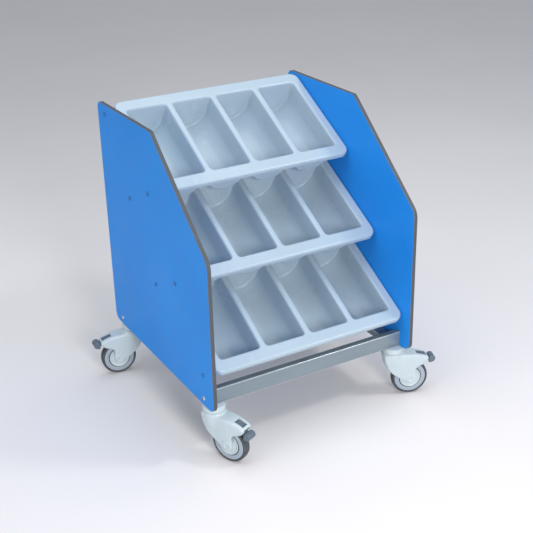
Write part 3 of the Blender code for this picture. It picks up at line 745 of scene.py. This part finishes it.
def softened(points, rounds=2, keep=0.22):
    """Outline with every corner cut off a little, again and again."""
    for _ in range(rounds):
        result = []
        for (x0, y0), (x1, y1) in zip(points, (*points[1:], points[0])):
            result.append((x0 + (x1 - x0) * keep, y0 + (y1 - y0) * keep))
            result.append((x1 + (x0 - x1) * keep, y1 + (y0 - y1) * keep))
        points = tuple(result)
    return points


def housing_field(x, y, z):
    """Hood and fork, negative inside: x trails behind the swivel axis, z is above its top plane."""
    side = np.abs(y)
    tip = np.clip((x - TRAIL) / (HOOD_TIP - TRAIL), 0, 1)
    foot = np.clip((z + KING_DEPTH) / (FORK_FOOT + KING_DEPTH), 0, 1)
    half = HOOD_HALF * (1 - HOOD_TIP_SLIM * tip - FORK_FOOT_SLIM * foot)
    soft = 0.0016 + 0.0050 * np.clip((z + 0.080) / 0.045, 0, 1)
    body = slab(outline_distance(softened(HOOD), x, z), side, half, soft)
    crown = outline_distance(softened(CROWN, 1), length2(x, y), z)
    body = smooth_min(body, crown, 0.006)
    from_axle = length2(x - TRAIL, z - AXLE_Z)
    boss_half = HOOD_HALF * (1 - FORK_FOOT_SLIM * 0.83) + BOSS_RISE
    boss = np.maximum(from_axle - BOSS_R, side - boss_half)
    body = smooth_min(body, boss, 0.0025)
    dimple = np.maximum(from_axle - DIMPLE_R, boss_half - DIMPLE_DEPTH - side)
    body = smooth_max(body, -dimple, 0.0009)
    reach = WHEEL_R + 0.0025
    arch = [(TRAIL + reach * math.cos(math.radians(a)), AXLE_Z + reach * math.sin(math.radians(a)))
            for a in range(190, 60, -6)]
    low, out = FORK_FOOT - 0.015, HOOD_TIP + 0.016
    pocket = (*arch, (0.073, -0.0420), (out, -0.0520), (out, low), (TRAIL - 0.03, low))
    body = smooth_max(body, -slab(outline_distance(pocket, x, z), side, FORK_HALF, 0.001), 0.0014)
    room = slab(outline_distance(PEDAL_ROOM, x, z), side, PEDAL_HALF + 0.0025, 0.0008)
    body = smooth_max(body, -room, 0.0012)
    near, far, wide = WINDOW
    window = np.maximum(np.abs(x - (near + far) / 2) - (far - near) / 2, side - wide)
    window = np.maximum(window, WINDOW_FLOOR - z)
    body = smooth_max(body, -window, 0.0010)
    bore = np.maximum(length2(x, y) - STEM_R - 0.0004, -KING_DEPTH - 0.002 - z)
    return np.maximum(body, -bore)


def pedal_field(x, y, z):
    """Brake lever with its ribbed toe and release pad, negative inside, about its own pivot."""
    x, z, side = x + PEDAL_PIVOT[0], z + PEDAL_PIVOT[1], np.abs(y)
    arm = slab(outline_distance(PEDAL, x, z), side, PEDAL_HALF, 0.0007)
    shape = outline_distance(softened(TOE, 1), x, z)
    toe = slab(shape, side, PEDAL_TOE_HALF, 0.0022)
    body = smooth_min(arm, toe, 0.0015)
    groove = np.abs((side + TOE_PITCH / 2) % TOE_PITCH - TOE_PITCH / 2) - TOE_GROOVE
    on_toe = np.maximum(groove, np.maximum(-(toe + 0.0008), side - 0.0095))
    on_toe = np.maximum(on_toe, 0.0975 - x)
    body = smooth_max(body, -on_toe, 0.0006)
    rib = np.abs((x - 0.0665 + PAD_PITCH / 2) % PAD_PITCH - PAD_PITCH / 2) - PAD_GROOVE
    on_pad = np.maximum(rib, np.maximum(-(arm + 0.0006), side - 0.0070))
    on_pad = np.maximum(on_pad, np.maximum(0.0655 - x, x - 0.0860))
    return smooth_max(body, -np.maximum(on_pad, -0.040 - z), 0.0005)


def build_casters():
    housing = surface_mesh("caster_shell", housing_field, *HOUSING_BOX, HOUSING_STEP, ["shell"])
    pedal_low = (PEDAL[0][0] - PEDAL_PIVOT[0] - 0.001, -PEDAL_TOE_HALF, PEDAL_LOW_Z - PEDAL_PIVOT[1])
    pedal_high = (PEDAL_REACH - PEDAL_PIVOT[0], PEDAL_TOE_HALF, PEDAL_HIGH_Z - PEDAL_PIVOT[1])
    pedal = surface_mesh("caster_pedal", pedal_field, pedal_low, pedal_high, PEDAL_STEP, ["pedal"])
    for corner in ("front_left", "front_right", "rear_left", "rear_right"):
        label = f"caster_{corner}"
        axis = JOINTS[f"{label}_wheel_roll"]["axis"]
        heading = Matrix.Rotation(math.atan2(-axis[0], axis[1]), 4, "Z")
        swivel = Matrix.Translation(JOINTS[f"{label}_swivel_turn"]["pos_m"]) @ heading
        wheel = Matrix.Translation(JOINTS[f"{label}_wheel_roll"]["pos_m"]) @ heading
        press = JOINTS[f"{label}_pedal_press"]
        pivot = (Matrix.Translation(press["pos_m"]) @ heading
                 @ Matrix.Rotation(math.radians(-press["range_deg"][0]), 4, "Y"))
        add_piece(f"look_{label}_housing", housing, f"{label}_swivel",
                  [f"{label}_housing"], swivel)
        add_piece(f"look_{label}_pedal", pedal, f"{label}_pedal", [f"{label}_pedal"], pivot)
        build_collar(label, swivel)
        build_wheel(label, wheel)
        frame["nodes"][f"{label}_axle"].data.materials.clear()
        frame["nodes"][f"{label}_axle"].data.materials.append(LOOKS["steel"])


def build_collar(label, place):
    top, low = 0.0003, -COLLAR_H
    profile = [(0, -KING_DEPTH), (STEM_R - 0.0008, -KING_DEPTH), (STEM_R, -KING_DEPTH + 0.0008),
               (STEM_R, low), (COLLAR_R - 0.0035, low)]
    profile += arc_points((COLLAR_R - 0.0025, low + 0.0025), 0.0025, -90, 0, 6)
    profile += arc_points((COLLAR_R - 0.0052, -0.0062), 0.0052, 2, 86, 8)
    profile += [(COLLAR_R - 0.0060, -top), (STEM_R, -top), (STEM_R, 0.0130), (STEM_R - 0.001, 0.0140),
                (0, 0.0140)]
    bm = bmesh.new()
    lathe(bm, profile, 64)
    make_piece(f"look_{label}_collar", bm, ["shell"], "frame",
               [f"{label}_collar"], place, sharp=40)


def build_wheel(label, place):
    hub, rim = HUB_HALF, WHEEL_HALF
    side = [(AXLE_R + 0.00025, hub - 0.0040), (0.0082, hub - 0.0040), (0.0090, hub - 0.0012),
            (0.0098, hub - 0.0004), (0.0108, hub), (0.0122, hub - 0.0004), (0.0160, hub - 0.0018),
            (0.0205, hub - 0.0022),
            (0.0240, hub - 0.0016), (0.0258, hub - 0.0004), (0.0266, hub), (0.0274, hub - 0.0005),
            (HUB_R, hub - 0.0016), (HUB_R + 0.0002, rim - 0.0034), (0.0295, rim - 0.0034),
            (0.0298, rim - 0.0012), (0.0305, rim - 0.0004), (0.0345, rim - 0.0002), (0.0348, rim - 0.0006),
            (0.0354, rim - 0.0006), (0.0357, rim - 0.0002), (0.0398, rim - 0.0004), (0.0408, rim - 0.0010),
            (RIM_R - 0.0003, rim - 0.0022)]
    # hub disc, then the groove in painted shade, then the rim ring
    looks = [0] * 12 + [1] * 3 + [2] * 8
    profile = side + [(r, -h) for r, h in reversed(side)]
    bm = bmesh.new()
    rows = lathe(bm, profile, 72, "Y", looks + [2] + looks[::-1])
    bridge(bm, rows[-1], rows[0])
    make_piece(f"look_{label}_wheel", bm, ["disc", "groove", "rim"], f"{label}_wheel",
               [f"{label}_wheel"], place, sharp=32)
    shoulder = arc_points((WHEEL_R - 0.0042, rim - 0.0036), 0.0036, 90, 12, 7)
    side = [(RIM_R, rim - 0.0012), (RIM_R + 0.0004, rim - 0.0006), (RIM_R + 0.0014, rim - 0.0001)] + shoulder
    side += [(WHEEL_R - 0.0002, rim - 0.0056), (WHEEL_R, rim - 0.0085)]
    profile = side + [(r, -h) for r, h in reversed(side)]
    bm = bmesh.new()
    rows = lathe(bm, profile, 96, "Y")
    bridge(bm, rows[-1], rows[0])
    make_piece(f"look_{label}_tyre", bm, ["tyre"], f"{label}_wheel", [f"{label}_tyre"],
               place, sharp=40)


# ---------------------------------------------------------------- floor, light and camera
def build_stage():
    n = Nodes("studio_floor")
    cloud = n.span(n.noise(1.2, 3.0), 0.3, 0.7)
    colour = n.mix(cloud, (0.80, 0.77, 0.775), (0.83, 0.80, 0.805))
    grain = n.noise(160.0, 3.0)
    floor_look = n.done(colour, n.span(grain, 0.3, 0.7, 0.75, 0.88), n.bump(grain, 0.05, 0.0005))
    bm = bmesh.new()
    bmesh.ops.create_grid(bm, x_segments=8, y_segments=8, size=30)
    mesh = bpy.data.meshes.new("studio_floor")
    bm.to_mesh(mesh)
    bm.free()
    mesh.materials.append(floor_look)
    floor = bpy.data.objects.new("studio_floor", mesh)
    floor.location.z = -0.0005
    bpy.context.scene.collection.objects.link(floor)

    world = bpy.data.worlds.new("studio")
    world.use_nodes = True
    background = world.node_tree.nodes["Background"]
    background.inputs["Color"].default_value = (0.84, 0.90, 0.97, 1)
    background.inputs["Strength"].default_value = 0.50
    bpy.context.scene.world = world

    lights = (  # name, place, size, watts, colour
        ("key", (-0.55, -3.0, 1.35), 0.8, 58.0, (1.0, 0.975, 0.95)),
        ("fill", (-2.6, -0.6, 2.6), 2.0, 14.0, (0.94, 0.97, 1.0)),
        ("top", (-0.2, 0.1, 3.2), 2.6, 36.0, (0.93, 0.97, 1.0)),
        ("right", (1.5, -1.4, 2.6), 0.45, 19.0, (1.0, 0.99, 0.97)),
    )
    for name, place, size, watts, colour in lights:
        data = bpy.data.lights.new(name, "AREA")
        data.shape, data.size, data.energy, data.color = "SQUARE", size, watts, colour
        lamp = bpy.data.objects.new(name, data)
        bpy.context.scene.collection.objects.link(lamp)
        lamp.location = place
        lamp.rotation_mode = "QUATERNION"
        lamp.rotation_quaternion = (Vector((0, 0, 0.4)) - Vector(place)).to_track_quat("-Z", "Y")


def build_camera():
    data = bpy.data.cameras.new("camera")
    data.lens, data.sensor_width = CAMERA_LENS, CAMERA_SENSOR
    data.clip_start, data.clip_end = 0.05, 60.0
    camera = bpy.data.objects.new("camera", data)
    bpy.context.scene.collection.objects.link(camera)
    bpy.context.scene.view_settings.view_transform = "Standard"
    az, el, roll = (math.radians(a) for a in (CAMERA_AZIMUTH, CAMERA_ELEVATION, CAMERA_ROLL))
    back = Vector((math.sin(az) * math.cos(el), -math.cos(az) * math.cos(el), math.sin(el)))
    right = Vector((math.cos(az), math.sin(az), 0))
    up = back.cross(right)
    turned_right = right * math.cos(roll) + up * math.sin(roll)
    turned_up = up * math.cos(roll) - right * math.sin(roll)
    camera.matrix_world = Matrix.Translation(CAMERA_PLACE) @ Matrix(
        (turned_right, turned_up, back)).transposed().to_4x4()
    bpy.context.scene.camera = camera


build_panels()
build_frame()
build_trays()
build_screws()
build_casters()
build_stage()
build_camera()

bpy.context.view_layer.update()
